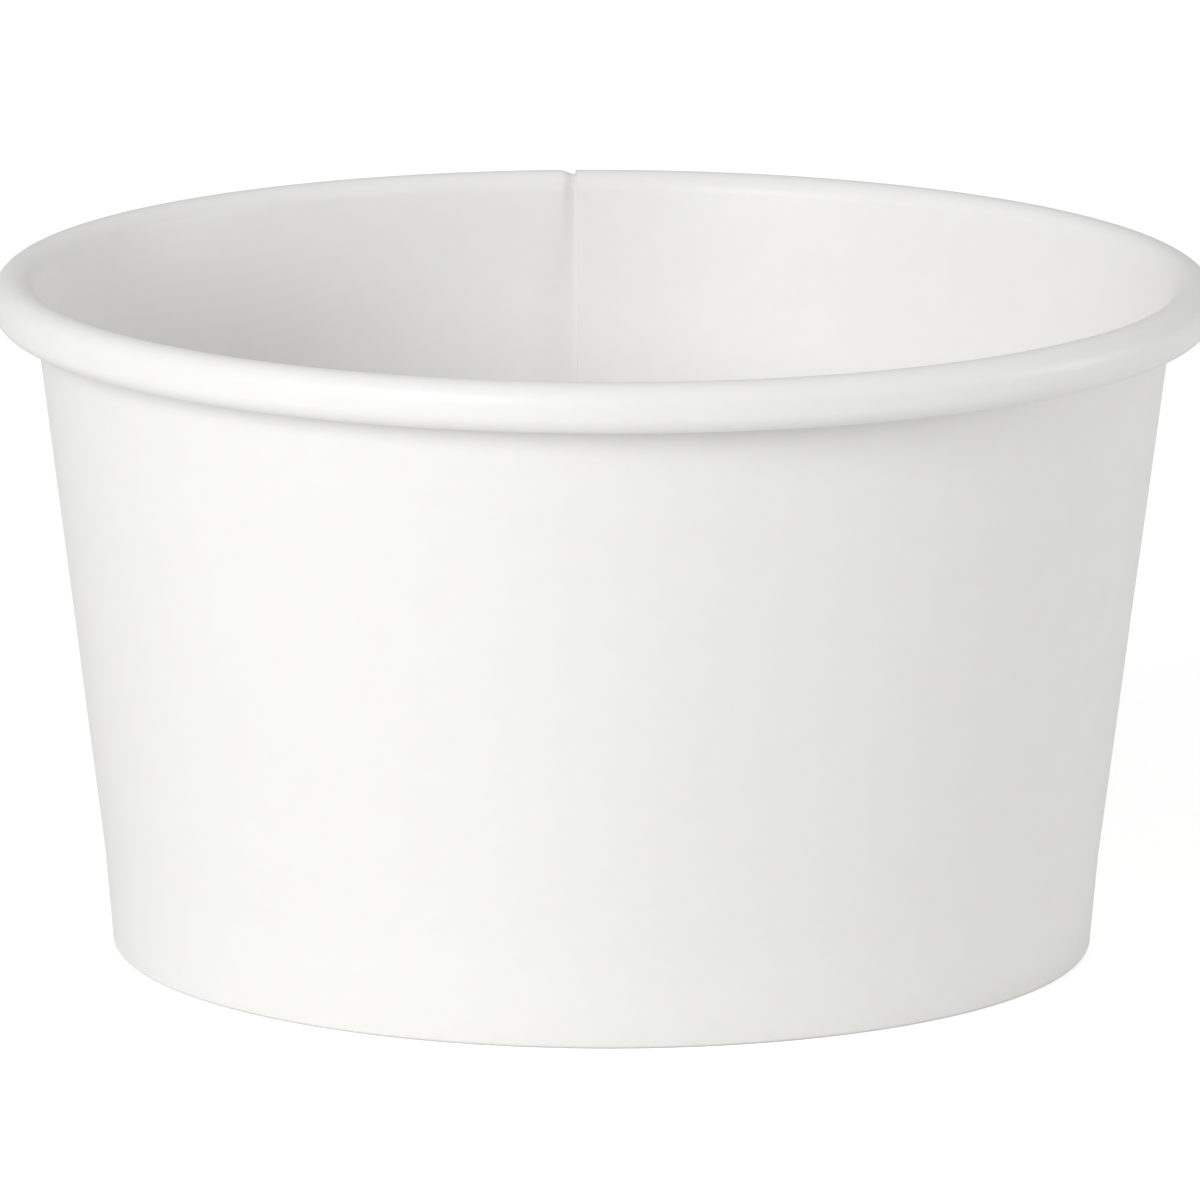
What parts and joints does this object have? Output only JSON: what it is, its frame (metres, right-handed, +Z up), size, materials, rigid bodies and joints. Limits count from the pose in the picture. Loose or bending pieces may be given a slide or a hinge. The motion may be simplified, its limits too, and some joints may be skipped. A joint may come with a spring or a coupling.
{
  "type": "paper sundae cup",
  "caption": "squat round paper cup for ice cream, with a rolled rim, a lapped side seam and a disc base recessed inside a folded foot",
  "frame": {"origin": "centre of the foot, on the surface that the cup stands on", "axes": "+Z is up along the cup's axis; -Y is the side the picture looks at; the lapped seam is at the back, near +Y"},
  "size_m": [0.115, 0.115, 0.0642],
  "materials": {
    "coated_wall_paper": "satin",
    "coated_base_paper": "satin"
  },
  "bodies": {
    "root": {"side_wall": "coated_wall_paper", "base_disc": "coated_base_paper"}
  },
  "joints": []
}
